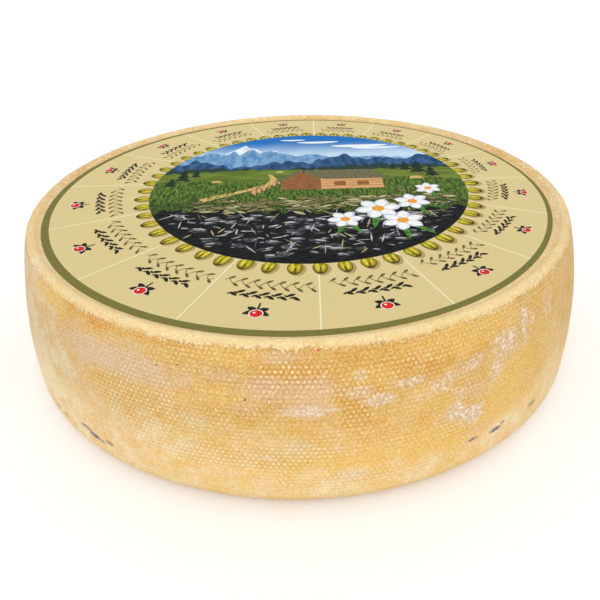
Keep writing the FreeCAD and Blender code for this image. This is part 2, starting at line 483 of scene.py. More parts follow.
def write_cloth_map(mesh, columns, side_first, side_faces):
    """A map in bumps along and rows up on the side, and in the same pitches straight across a cap."""
    layer = mesh.uv_layers.new(name="cloth_map")
    pitch = 2 * math.pi * BELLY / BUMPS_ROUND
    loops = len(mesh.loops)
    corner = np.empty(loops, np.int32)
    mesh.loops.foreach_get("vertex_index", corner)
    starts = np.empty(len(mesh.polygons), np.int32)
    mesh.polygons.foreach_get("loop_start", starts)
    places = np.empty(len(mesh.vertices) * 3, np.float32)
    mesh.vertices.foreach_get("co", places)
    places = places.reshape(-1, 3) / MM
    side_loops = starts[side_faces]
    values = np.empty((loops, 2), np.float32)
    # On the side each face's corners run right, left of the seam as well, so u never jumps back.
    values[:, 0] = places[corner, 0] / pitch
    values[:, 1] = places[corner, 1] / ROW_PITCH
    column = (corner[:side_loops] % columns).reshape(-1, 4)
    row = (corner[:side_loops] // columns).reshape(-1, 4)
    seam = (column.max(axis=1) == columns - 1) & (column.min(axis=1) == 0)
    column = np.where(seam[:, None] & (column == 0), columns, column)
    values[:side_loops, 0] = column.reshape(-1) / 2.0
    values[:side_loops, 1] = (row.reshape(-1) - side_first) / 2.0
    layer.data.foreach_set("uv", values.reshape(-1))


# ---------------------------------------------------------------- the rind's material

# Dark blue-grey streaks low on the side: azimuth, height, half length, half height in mm, strength.
STREAKS = [
    (-142.6, 16.8, 3.2, 1.1, 0.45),
    (-139.6, 15.8, 3.6, 1.3, 0.55),
    (-132.2, 20.2, 5.0, 1.4, 0.70),
    (-129.8, 18.0, 3.8, 1.7, 1.00),
    (-128.0, 17.0, 2.4, 1.2, 0.60),
    (-125.9, 18.7, 3.2, 1.7, 0.65),
    (-44.5, 22.0, 3.6, 1.9, 0.60),
    (-55.2, 22.6, 4.3, 1.6, 1.00),
    (-53.6, 24.2, 1.9, 1.0, 0.70),
    (-60.7, 23.7, 3.4, 0.9, 0.90),
    (28.0, 17.0, 3.6, 1.3, 0.70),
    (61.0, 22.0, 3.0, 1.2, 0.60),
    (118.0, 16.0, 4.2, 1.3, 0.75),
    (171.0, 20.0, 2.8, 1.1, 0.55),
]
# Small specks: azimuth, height, half size in mm, colour.
SPECKS = [
    (-87.4, 82.2, 0.75, (232, 84, 40)),
    (-98.9, 61.3, 0.65, (58, 34, 28)),
    (-113.6, 70.6, 0.50, (104, 74, 80)),
    (-109.8, 72.6, 0.50, (104, 74, 64)),
    (40.0, 58.0, 0.60, (70, 45, 40)),
    (140.0, 49.0, 0.60, (95, 62, 48)),
]


def cloth_bump(shader, cloth_map):
    """How far each place is from its cloth bump and from its row, in mm, and a number for each bump."""
    u, v, _ = shader.split(cloth_map)
    row = shader.math("ROUND", v)
    offset = shader.math("MULTIPLY", shader.math("FLOORED_MODULO", row, 2.0), 0.5)
    along = shader.math("SUBTRACT", u, offset)
    nearest = shader.math("ROUND", along)
    pitch = 2 * math.pi * BELLY / BUMPS_ROUND
    across = shader.math("MULTIPLY", shader.math("SUBTRACT", along, nearest), pitch)
    up = shader.math("MULTIPLY", shader.math("SUBTRACT", v, row), ROW_PITCH)
    squared = shader.math("ADD", shader.math("POWER", across, 2.0), shader.math("POWER", up, 2.0))
    distance = shader.math("SQRT", squared)
    number = shader.node("TexWhiteNoise", {"Vector": shader.join(nearest, row, offset)}).outputs["Value"]
    return distance, shader.math("ABSOLUTE", up), number


def rind_material():
    """Washed rind: straw to orange, pink and cream zones, cloth bumps with painted highlights and painted shade between
    them, bloom, streaks, and grain with painted shade in its pits and pores and painted glints.
    """
    shader = Shader("rind_surface", roughness=0.62, specular=0.2)
    place = shader.place()
    x, y, z = shader.split(place)
    middle = shader.noise(place, 0.10, detail=5.0)
    spotty = shader.noise(place, 0.32, detail=3.0)
    fine = shader.noise(place, 0.75, detail=3.0)
    grain = shader.noise(place, 1.6, detail=2.0)
    along_x, along_y = shader.math("MULTIPLY", x, 0.12), shader.math("MULTIPLY", y, 0.12)

    # Warmth runs from pale straw through ochre to orange, and is broken up by blotches.
    warmth = shader.math("MULTIPLY_ADD", shader.math("SUBTRACT", middle, 0.5), 1.1, shader.attribute("warm"))
    warmth = shader.math("MULTIPLY_ADD", shader.math("SUBTRACT", spotty, 0.5), 0.7, warmth)
    base = shader.mix(shader.span(warmth, -0.05, 0.40), colour(227, 208, 170), colour(221, 189, 140))
    base = shader.mix(shader.span(warmth, 0.30, 0.75), base, colour(220, 178, 104))
    base = shader.mix(shader.span(warmth, 0.65, 1.10), base, colour(216, 162, 72))
    lean = shader.noise(place, 0.045, detail=4.0)
    olive = shader.mix(1.0, base, (0.975, 1.0, 0.94, 1.0), "MULTIPLY")
    base = shader.mix(shader.span(lean, 0.50, 0.62), base, olive)
    orange = shader.mix(1.0, base, (1.02, 0.98, 0.965, 1.0), "MULTIPLY")
    base = shader.mix(shader.span(lean, 0.48, 0.36), base, orange)
    lighter = shader.mix(1.0, base, (1.25, 1.27, 1.27, 1.0), "MULTIPLY")
    base = shader.mix(shader.attribute("light"), base, lighter)
    gold = shader.math("MULTIPLY", shader.attribute("gold"), shader.span(spotty, 0.25, 0.6, 0.4, 0.85))
    base = shader.mix(gold, base, colour(237, 192, 98))
    pink = shader.math("MULTIPLY", shader.attribute("pink"), shader.span(fine, 0.32, 0.60, 0.35, 0.85))
    base = shader.mix(pink, base, colour(219, 184, 154))

    # Rows of the cloth show as bumps, each with a painted highlight and painted shade in the gaps between them,
    # brighter in some places and lost in others.
    cloth_map = shader.node("UVMap", uv_map="cloth_map").outputs[0]
    distance, off_row, number = cloth_bump(shader, cloth_map)
    cloth = shader.attribute("cloth")
    ragged = shader.math("MULTIPLY_ADD", shader.math("SUBTRACT", grain, 0.5), 0.8, distance)
    dot = shader.span(ragged, 0.85, 0.35)
    gap = shader.span(ragged, 0.75, 1.20)
    dots = shader.math("MULTIPLY", dot, shader.math("MULTIPLY", cloth, shader.span(number, 0.0, 0.9, 0.30, 1.0)))
    painted_gap_shade = shader.math("MULTIPLY", gap, cloth)
    # The base darkened: painted shade in the gaps between bumps, and the tone of the thread lines and dragged streaks
    # below.
    shade_and_mark_tone = shader.mix(1.0, base, (0.82, 0.75, 0.64, 1.0), "MULTIPLY")
    base = shader.mix(shader.math("MULTIPLY", painted_gap_shade, 0.85), base, shade_and_mark_tone)
    # The pale colour on the bumps is a painted highlight, and some bumps get a brighter painted glint.
    base = shader.mix(shader.math("MULTIPLY", dots, 0.80), base, colour(252, 226, 168))
    painted_bump_glint = shader.math("MULTIPLY", dots, shader.span(number, 0.62, 0.85))
    base = shader.mix(shader.math("MULTIPLY", painted_bump_glint, 0.38), base, colour(255, 238, 196))

    # Where the bumps are lost, threads still show as faint dark lines between the rows.
    dragged = shader.noise(shader.join(along_x, along_y, z), 0.9, detail=3.0)
    thread = shader.span(shader.math("MULTIPLY_ADD", shader.math("SUBTRACT", dragged, 0.5), 1.6, off_row), 0.55, 1.05)
    base = shader.mix(shader.math("MULTIPLY", thread, 0.26), base, shade_and_mark_tone)
    base = shader.mix(shader.span(dragged, 0.46, 0.32, 0.0, 0.28), base, shade_and_mark_tone)

    rim_tint = shader.mix(shader.span(fine, 0.30, 0.70), colour(236, 206, 145), colour(243, 222, 170))
    base = shader.mix(shader.attribute("rim"), base, rim_tint)

    # Bloom is a greyish pink haze with white crumbs in it.
    bloom = shader.attribute("bloom")
    haze = shader.math("MULTIPLY", bloom, shader.span(spotty, 0.30, 0.55, 0.35, 0.75))
    base = shader.mix(haze, base, colour(220, 190, 162))
    crumb = shader.math("MULTIPLY_ADD", dot, 0.05, shader.noise(place, 0.60, detail=6.0))
    crumbs = shader.math("MULTIPLY", shader.span(crumb, 0.51, 0.63), bloom)
    base = shader.mix(shader.math("MULTIPLY", crumbs, 0.95), base, colour(247, 238, 226))
    rosy = shader.math("MULTIPLY", shader.span(crumb, 0.36, 0.28), shader.math("MAXIMUM", bloom, 0.25))
    base = shader.mix(shader.math("MULTIPLY", rosy, 0.6), base, colour(222, 150, 112))

    azimuth = shader.math("MULTIPLY", shader.math("ARCTAN2", y, x), 180 / math.pi)
    for middle_azimuth, level, half_length, half_height, strength in STREAKS:
        share = streak_share(shader, azimuth, z, spotty, middle_azimuth, level, half_length, half_height)
        base = shader.mix(shader.math("MULTIPLY", share, strength), base, colour(104, 104, 116))
    for middle_azimuth, level, half_size, tint in SPECKS:
        share = streak_share(shader, azimuth, z, grain, middle_azimuth, level, half_size, half_size)
        base = shader.mix(share, base, colour(*tint))

    # Painted shade in small pits and pores and painted glints between them stand in for the shading of the rind's fine
    # grain, less of each on the rim and near the top.
    painted_hollow_shade = shader.mix(1.0, base, (0.78, 0.70, 0.57, 1.0), "MULTIPLY")
    rim = shader.attribute("rim")
    smoothed = shader.math("MAXIMUM", rim, shader.span(z, HEIGHT - 2.6, HEIGHT - 1.0))
    coarse = shader.math("SUBTRACT", 1.0, shader.math("MULTIPLY", smoothed, 0.72))
    pit_shade = shader.math("MULTIPLY", shader.span(fine, 0.46, 0.28, 0.0, 0.55), coarse)
    base = shader.mix(pit_shade, base, painted_hollow_shade)
    pore_shade = shader.math("MULTIPLY", shader.span(grain, 0.50, 0.30, 0.0, 0.65), coarse)
    base = shader.mix(pore_shade, base, painted_hollow_shade)
    glints = shader.math("MULTIPLY", shader.span(grain, 0.50, 0.70, 0.0, 0.50), coarse)
    base = shader.mix(glints, base, colour(255, 235, 186))
    # Small scales lift where the rim meets the side, and here and there lower down.
    edge = shader.math("MULTIPLY", rim, shader.math("SUBTRACT", 1.0, rim))
    crusty = shader.noise(place, 0.8, detail=5.0)
    scaly = shader.math("MULTIPLY_ADD", edge, shader.span(middle, 0.38, 0.62, 0.15, 0.85), crusty)
    scales = shader.span(scaly, 0.64, 0.76)
    base = shader.mix(shader.math("MULTIPLY", scales, 0.5), base, colour(246, 230, 198))
    dirty = shader.math("MULTIPLY", shader.span(edge, 0.0, 0.12), shader.span(rim, 0.75, 0.25))
    flecks = shader.math("MULTIPLY", dirty, shader.span(crusty, 0.50, 0.38))
    base = shader.mix(shader.math("MULTIPLY", flecks, 0.45), base, colour(158, 118, 72))

    relief = shader.math("MULTIPLY_ADD", fine, 0.5, shader.math("MULTIPLY", grain, 0.35))
    relief = shader.math("MULTIPLY_ADD", dots, 0.9, relief)
    relief = shader.math("MULTIPLY_ADD", crumbs, 0.25, relief)
    roughness = shader.span(fine, 0.3, 0.7, 0.52, 0.74)
    return shader.finish(base, roughness, relief, depth=0.16)


def streak_share(shader, azimuth, z, noise, middle, level, half_length, half_height):
    """1 inside a small ragged ellipse on the side, 0 outside."""
    across = shader.math("MULTIPLY", shader.math("SUBTRACT", azimuth, middle), math.radians(BELLY) / half_length)
    up = shader.math("DIVIDE", shader.math("SUBTRACT", z, level), half_height)
    squared = shader.math("ADD", shader.math("POWER", across, 2.0), shader.math("POWER", up, 2.0))
    ragged = shader.math("MULTIPLY_ADD", shader.math("SUBTRACT", noise, 0.5), 1.6, shader.math("SQRT", squared))
    return shader.span(ragged, 1.15, 0.45)


# ---------------------------------------------------------------- the label's print

# The print lies a little off the label's middle, and its sectors a little further back.
FIELD_MIDDLE, FIELD_RADIUS = (0.1, -0.5), 130.8
PICTURE_MIDDLE, PICTURE_RADIUS = (6.2, 10.3), 87.75
SECTOR_MIDDLE, SECTOR_START, SECTORS = (10.8, 19.6), -1.06, 16
BEADS = 55
HAIR = 0.00015


class Print:
    """Flat printed shapes on the label, in millimetres, gathered into one piece.

    Each shape lies a hair above the last one drawn, so a later shape always covers an earlier one.
    """

    def __init__(self, name, inks, base):
        self.name, self.inks, self.level = name, inks, LABEL_TOP + base
        self.vertices, self.faces, self.slots = [], [], []

    def polygon(self, points, ink):
        first = len(self.vertices)
        area = sum(a[0] * b[1] - b[0] * a[1] for a, b in zip(points, points[1:] + points[:1]))
        if area < 0:
            points = points[::-1]
        self.vertices += [(px, py, self.level) for px, py in points]
        self.faces.append(tuple(range(first, first + len(points))))
        self.slots.append(self.inks.index(ink))

    def shape(self, points, ink):
        """A filled outline over everything drawn so far."""
        self.level += HAIR
        self.polygon(points, ink)

    def band(self, lower, upper, ink, middle=(0, 0), way=0.0, scale=1.0):
        """A strip between two lines of as many points, turned and moved as turned() does."""
        self.level += HAIR
        for k in range(len(lower) - 1):
            corners = [lower[k], lower[k + 1], upper[k + 1], upper[k]]
            if max(math.dist(lower[k], upper[k]), math.dist(lower[k + 1], upper[k + 1])) > 1e-6:
                self.polygon(turned(corners, middle, way, scale), ink)

    def disc(self, middle, radius, ink, count=24):
        self.shape([at(middle, radius, 360 * k / count) for k in range(count)], ink)

    def build(self):
        materials = [INKS[ink] for ink in self.inks]
        piece = mesh_object(self.name, self.vertices, self.faces, materials, self.slots, False)
        return piece


def at(middle, distance, degrees):
    """The point at a distance from middle in a direction."""
    turn = math.radians(degrees)
    return (middle[0] + distance * math.cos(turn), middle[1] + distance * math.sin(turn))


def reach(start, degrees, middle, radius):
    """How far from start a circle lies in a direction, start being inside it."""
    ux, uy = math.cos(math.radians(degrees)), math.sin(math.radians(degrees))
    ox, oy = start[0] - middle[0], start[1] - middle[1]
    along = ox * ux + oy * uy
    return -along + math.sqrt(along**2 - (ox**2 + oy**2 - radius**2))


def turned(points, middle, degrees, scale=1.0):
    """Points given about the origin, scaled, turned and moved to middle."""
    c, s = math.cos(math.radians(degrees)) * scale, math.sin(math.radians(degrees)) * scale
    return [(middle[0] + px * c - py * s, middle[1] + px * s + py * c) for px, py in points]


def petal(length, width, blunt=0.5, count=9):
    """A leaf or petal outline from the origin along +X, widest at the share blunt of its length."""
    upper = []
    for k in range(1, count):
        share = k / count
        rise = share / blunt if share < blunt else (1 - share) / (1 - blunt)
        upper.append((length * share, width / 2 * math.sin(rise * math.pi / 2) ** 0.8))
    return [(0, 0)] + [(px, -py) for px, py in upper] + [(length, 0)] + upper[::-1]


def printed(name, first, second, scale=0.25, stretch=(1, 1), contrast=(0.35, 0.65)):
    """An ink: two near colours in a soft mottle, under the paper's fine tooth."""
    shader = Shader("ink_" + name, roughness=0.55, specular=0.06)
    place = shader.place()
    x, y, _ = shader.split(place)
    stretched = shader.join(
        shader.math("MULTIPLY", x, stretch[0]), shader.math("MULTIPLY", y, stretch[1]), 0.0
    )
    mottle = shader.noise(stretched, scale, detail=4.0)
    base = shader.mix(shader.span(mottle, *contrast), colour(*first), colour(*second))
    tooth = shader.noise(place, 4.0, detail=2.0)
    return shader.finish(base, None, tooth, depth=0.012)


def sky_ink():
    """Deep blue at the back, fading to a pale horizon."""
    shader = Shader("ink_sky", roughness=0.55, specular=0.06)
    place = shader.place()
    _, y, _ = shader.split(place)
    top = PICTURE_MIDDLE[1] + PICTURE_RADIUS
    haze = shader.noise(place, 0.03, detail=3.0)
    level = shader.math("MULTIPLY_ADD", haze, 12.0, y)
    base = shader.mix(shader.span(level, top - 34, top - 4), colour(196, 222, 240), colour(22, 112, 190))
    tooth = shader.noise(place, 4.0, detail=2.0)
    return shader.finish(base, None, tooth, depth=0.012)


INKS = {
    "olive": printed("olive", (119, 114, 58), (124, 120, 63), 0.5),
    "beige": printed("beige", (218, 200, 143), (220, 202, 146), 0.05),
    "line": printed("line", (240, 231, 190), (244, 236, 200), 0.5),
    "shadow": printed("shadow", (168, 150, 98), (180, 162, 108), 0.5),
    "bead_dark": printed("bead_dark", (78, 62, 16), (100, 80, 22), 0.5),
    "bead": printed("bead", (140, 128, 16), (176, 158, 26), 0.35),
    "bead_light": printed("bead_light", (200, 186, 50), (224, 210, 84), 0.6),
    "sky": sky_ink(),
    "cloud": printed("cloud", (226, 238, 246), (246, 250, 252), 0.12),
    "snow": printed("snow", (206, 220, 234), (240, 245, 250), 0.12),
    "far_rock": printed("far_rock", (86, 138, 186), (132, 172, 208), 0.15, (1.6, 0.6)),
    "near_rock": printed("near_rock", (24, 62, 104), (56, 98, 140), 0.16, (1.6, 0.6)),
    "fir_far": printed("fir_far", (30, 52, 52), (44, 70, 60), 0.3, (2.0, 0.5)),
    "fir": printed("fir", (18, 34, 24), (34, 56, 34), 0.5, (0.6, 2.0)),
    "meadow_far": printed("meadow_far", (86, 108, 34), (116, 136, 52), 0.10, (0.4, 2.0)),
    "meadow": printed("meadow", (40, 68, 20), (104, 130, 50), 0.35, (2.2, 0.5)),
    "grass": printed("grass", (22, 40, 16), (84, 108, 44), 0.5, (2.5, 0.6)),
    "timber": printed("timber", (204, 148, 94), (224, 176, 122), 0.3, (0.5, 3.0)),
    "timber_dark": printed("timber_dark", (128, 80, 44), (158, 106, 62), 0.4, (0.5, 3.0)),
    "roof": printed("roof", (86, 84, 60), (128, 122, 90), 0.6, (1.0, 3.0)),
    "hay": printed("hay", (196, 160, 92), (222, 190, 124), 0.5, (2.0, 1.0)),
    "straw": printed("straw", (166, 150, 96), (200, 184, 132), 0.6, (1.0, 2.0)),
    "soil": printed("soil", (6, 7, 8), (30, 31, 33), 0.22, (1.0, 2.5)),
    "stone": printed("stone", (44, 46, 50), (92, 94, 98), 0.4, (1.0, 1.6)),
    "stone_light": printed("stone_light", (150, 151, 154), (206, 206, 208), 0.5, (1.0, 1.6)),
    "petal": printed("petal", (236, 236, 240), (252, 252, 252), 0.4),
    "petal_shade": printed("petal_shade", (196, 202, 214), (214, 218, 226), 0.4),
    "flower_eye": printed("flower_eye", (232, 134, 24), (246, 176, 40), 0.9),
    "leaf": printed("leaf", (52, 104, 38), (92, 146, 60), 0.5, (1.0, 1.0)),
    "leaf_dry": printed("leaf_dry", (104, 102, 58), (150, 144, 96), 0.35, (1.0, 1.4)),
    "leaf_pale": printed("leaf_pale", (170, 162, 112), (198, 190, 142), 0.5, (1.0, 1.4)),
    "leaf_edge": printed("leaf_edge", (42, 42, 24), (60, 58, 34), 0.5),
    "dark": printed("dark", (30, 28, 24), (44, 40, 34), 0.6),
    "brown": printed("brown", (96, 80, 44), (112, 94, 54), 0.6),
    "red": printed("red", (206, 34, 30), (222, 48, 40), 0.6),
    "white": printed("white", (244, 240, 228), (250, 248, 240), 0.6),
}


def make_paper():
    """The paper disc with its cut edge, olive all over, under the beige field."""
    steps = 256
    bottom = FACE_LEVEL
    rings = [(LABEL_RADIUS, bottom), (LABEL_RADIUS, LABEL_TOP - 0.05), (LABEL_RADIUS - 0.05, LABEL_TOP)]
    vertices = []
    for radius, level in rings:
        vertices += [(*at(LABEL_MIDDLE, radius, 360 * k / steps), level) for k in range(steps)]
    faces = [tuple(reversed(range(steps))), tuple(range(2 * steps, 3 * steps))]
    for low in (0, steps):
        for k in range(steps):
            after = (k + 1) % steps
            faces.append((low + k, low + after, low + steps + after, low + steps + k))
    return mesh_object("label_paper", vertices, faces, [INKS["olive"]], smooth_faces=False)


def make_field():
    """The beige field and the pale lines that part it into sectors."""
    field = Print("label_field", ["beige", "line"], 0.01)
    field.disc(FIELD_MIDDLE, FIELD_RADIUS, "beige", 256)
    for k in range(SECTORS):
        degrees = SECTOR_START + 360 / SECTORS * k
        inner = at(SECTOR_MIDDLE, reach(SECTOR_MIDDLE, degrees, PICTURE_MIDDLE, PICTURE_RADIUS), degrees)
        outer = at(SECTOR_MIDDLE, reach(SECTOR_MIDDLE, degrees, FIELD_MIDDLE, FIELD_RADIUS), degrees)
        side = at((0, 0), 0.32, degrees + 90)
        field.shape(
            [
                (inner[0] - side[0], inner[1] - side[1]),
                (outer[0] - side[0], outer[1] - side[1]),
                (outer[0] + side[0], outer[1] + side[1]),
                (inner[0] + side[0], inner[1] + side[1]),
            ],
            "line",
        )
    return field.build()


def bead_outline(length, width, count=26):
    """A plump almond from the origin along +X: round at the near end, a blunt point at the far end."""
    points = []
    for k in range(count):
        turn = 2 * math.pi * k / count
        narrowing = 1 - 0.16 * math.cos(turn)
        side = math.copysign(abs(math.sin(turn)) ** 0.92, math.sin(turn))
        points.append((length / 2 * (1 + math.cos(turn)), width / 2 * side * narrowing))
    return points


def make_beads():
    """The ring of plump almond-shaped beads round the picture, each with its shadow."""
    beads = Print("label_beads", ["shadow", "bead_dark", "bead", "bead_light"], 0.03)
    draw = random.Random(21)
    row = []
    for k in range(BEADS):
        degrees = SECTOR_START + 360 / BEADS * (k + 0.3)
        distance = reach(SECTOR_MIDDLE, degrees, PICTURE_MIDDLE, PICTURE_RADIUS - 0.8)
        nearness = -math.sin(math.radians(degrees))
        length = (8.2 + 2.2 * nearness) * draw.uniform(0.95, 1.06)
        width = (6.7 + 0.4 * nearness) * draw.uniform(0.94, 1.06)
        row.append((at(SECTOR_MIDDLE, distance, degrees), degrees + draw.uniform(-4, 4), length, width))
    for foot, way, length, width in row:
        shade_foot = (foot[0] + 1.2, foot[1] - 0.9)
        beads.shape(turned(bead_outline(length * 1.03, width * 1.08), shade_foot, way), "shadow")
    for bead in row:
        draw_bead(beads, *bead, draw.choice((-1, 1)))
    return beads.build()


def draw_bead(beads, foot, way, length, width, tilt):
    """One bead: a dark outline, its body, two glints, a groove and a dark tip."""

    def part(along, across, long, wide, turn, ink):
        spot = turned([(along * length, across * width)], foot, way)[0]
        beads.shape(turned(bead_outline(long * length, wide * width), spot, way + turn), ink)

    part(0, 0, 1.0, 1.0, 0, "bead_dark")
    part(0.02, 0, 0.88, 0.90, 0, "bead")
    part(0.06, 0.20 * tilt, 0.66, 0.26, -3 * tilt, "bead_light")
    part(0.16, -0.22 * tilt, 0.50, 0.16, 3 * tilt, "bead_light")
    part(0.42, -0.02 * tilt, 0.50, 0.10, 0, "bead_dark")
    part(0.80, 0.04 * tilt, 0.18, 0.44, 0, "bead_dark")


def ornament(sheet, middle, way, scale):
    """A plain mark for a sector of the label: a sprig with a red berry, a garland and a thin vine."""

    def put(points, out, across, turn, ink):
        spot = turned([(out, across)], middle, way, scale)[0]
        sheet.shape(turned(points, spot, way + turn, scale), ink)

    for turn, long in ((62, 6.4), (-62, 6.4), (118, 5.2), (-118, 5.2)):
        put(petal(long, 2.9), 0.5, 0.0, turn, "dark")
    put([(-5.5, -0.35), (1.5, -0.5), (1.5, 0.5), (-5.5, 0.35)], 0, 0, 0, "dark")
    berry = turned([(2.6, 0)], middle, way, scale)[0]
    sheet.disc(berry, 3.1 * scale, "white", 20)
    sheet.disc(berry, 2.65 * scale, "red", 20)
    sheet.disc((berry[0] - 0.8 * scale, berry[1] + 0.8 * scale), 0.6 * scale, "white", 10)
    # A garland of dark leaves lies across the sector, nearer to the picture.
    for k in range(-5, 6):
        across, out = 2.7 * k, -11.0 - 0.035 * k * k
        put(petal(4.6, 1.9, 0.45), out - 0.6, across - 1.4, 52 if k % 2 else 128, "dark")
        put(petal(2.6, 1.1, 0.45), out - 0.2, across - 0.4, -60 if k % 2 else -120, "dark")
    # A thin brown vine winds beside it, with a leaf at each turn.
    waves, long, deep = 3.5, 20.0, 1.7
    left, right = [], []
    for k in range(113):
        share = k / 56 - 1
        out = -20.3 - 1.6 * share * share + deep * math.sin(share * waves * 2 * math.pi)
        half = 0.36 - 0.14 * abs(share)
        left.append((out - half, long * share))
        right.append((out + half, long * share))
    sheet.band(left, right, "brown", middle, way, scale)
    for k in range(-7, 7):
        share = (k + 0.5) / (2 * waves)
        side = 1 if k % 2 == 0 else -1
        out = -20.3 - 1.6 * share * share + deep * side
        put(petal(3.6, 1.5), out, long * share, 90 - 40 * side, "brown")


def make_ornaments():
    sheet = Print("label_ornaments", ["dark", "brown", "red", "white"], 0.03)
    for k in range(SECTORS):
        degrees = SECTOR_START + 360 / SECTORS * (k + 0.52)
        inner = reach(SECTOR_MIDDLE, degrees, PICTURE_MIDDLE, PICTURE_RADIUS)
        outer = reach(SECTOR_MIDDLE, degrees, FIELD_MIDDLE, FIELD_RADIUS)
        middle = at(SECTOR_MIDDLE, inner + 0.74 * (outer - inner), degrees)
        ornament(sheet, middle, degrees, (outer - inner) / 54)
    return sheet.build()


# ---------------------------------------------------------------- the label's picture


def chord(px):
    """Half the picture's height at px from its middle."""
    return math.sqrt(max(PICTURE_RADIUS**2 - px**2, 0.0))


def land(sheet, height, ink, low=-PICTURE_RADIUS, high=PICTURE_RADIUS, count=150, floor=None):
    """Fills the picture below the skyline height(x), or between it and floor(x)."""
    lower, upper = [], []
    for k in range(count + 1):
        px = low + (high - low) * k / count
        half = chord(px)
        bottom = -half if floor is None else max(-half, min(floor(px), half))
        top = max(bottom, min(height(px), half))
        lower.append((PICTURE_MIDDLE[0] + px, PICTURE_MIDDLE[1] + bottom))
        upper.append((PICTURE_MIDDLE[0] + px, PICTURE_MIDDLE[1] + top))
    sheet.band(lower, upper, ink)


def ridge(level, peaks, jag, seed):
    """A skyline of tent-shaped peaks, each (x, height, half width), roughened by noise."""
    draw = random.Random(seed)
    waves = [(draw.uniform(0.15, 1.1), draw.uniform(0, 6.28), draw.uniform(0.4, 1.0)) for _ in range(7)]

    def height(px):
        tent = max([rise * max(0.0, 1 - abs(px - mid) / half) for mid, rise, half in peaks] + [0.0])
        rough = sum(size * math.sin(rate * px + phase) / (1 + rate * 2) for rate, phase, size in waves)
        return level + tent + jag * rough

    return height


def in_picture(px, py):
    return (PICTURE_MIDDLE[0] + px, PICTURE_MIDDLE[1] + py)


def fir_tree(sheet, px, py, size):
    """A fir of three skirts and a trunk."""
    sheet.shape([in_picture(px + dx * size, py + dy * size) for dx, dy in
                 [(-0.05, -0.1), (0.05, -0.1), (0.05, 0.3), (-0.05, 0.3)]], "timber_dark")
    for base, wide, top in [(0.05, 0.30, 0.55), (0.32, 0.24, 0.78), (0.58, 0.17, 1.0)]:
        outline = [(-wide, base), (-wide * 0.3, base + 0.04), (0, base - 0.02), (wide * 0.4, base + 0.05),
                   (wide, base), (wide * 0.45, (base + top) / 2), (0, top), (-wide * 0.45, (base + top) / 2)]
        sheet.shape([in_picture(px + dx * size, py + dy * size) for dx, dy in outline], "fir")


def hut(sheet, px, py, size):
    """A log hut seen from its gable and one long side."""
    def put(points, ink):
        sheet.shape([in_picture(px + dx * size, py + dy * size) for dx, dy in points], ink)

    put([(-1.0, 0), (1.3, 0), (1.3, 0.6), (-1.0, 0.6)], "timber")
    put([(-1.0, 0), (-0.1, 0), (-0.1, 0.6), (-0.55, 1.05), (-1.0, 0.6)], "timber_dark")
    put([(-0.55, 1.12), (1.05, 1.12), (1.5, 0.56), (-0.02, 0.56)], "roof")
    put([(-1.15, 0.5), (-0.55, 1.18), (-0.42, 1.12), (-1.02, 0.46)], "roof")
    put([(0.2, 0.18), (0.46, 0.18), (0.46, 0.42), (0.2, 0.42)], "timber_dark")
    put([(0.72, 0.18), (0.98, 0.18), (0.98, 0.42), (0.72, 0.42)], "timber_dark")
    for log in range(1, 4):
        level = 0.15 * log
        put([(-0.1, level), (1.3, level), (1.3, level + 0.02), (-0.1, level + 0.02)], "timber_dark")


def blossom(sheet, px, py, size, turn):
    """A six-petalled white flower with an orange eye."""
    middle = in_picture(px, py)
    for k in range(6):
        way = turn + 60 * k
        sheet.shape(turned(petal(size, size * 0.62, 0.6), middle, way), "petal_shade")
        sheet.shape(turned(petal(size * 0.93, size * 0.44, 0.6), middle, way + 3), "petal")
    sheet.disc(middle, size * 0.27, "flower_eye", 18)
    sheet.disc((middle[0] - size * 0.05, middle[1] + size * 0.05), size * 0.12, "hay", 12)


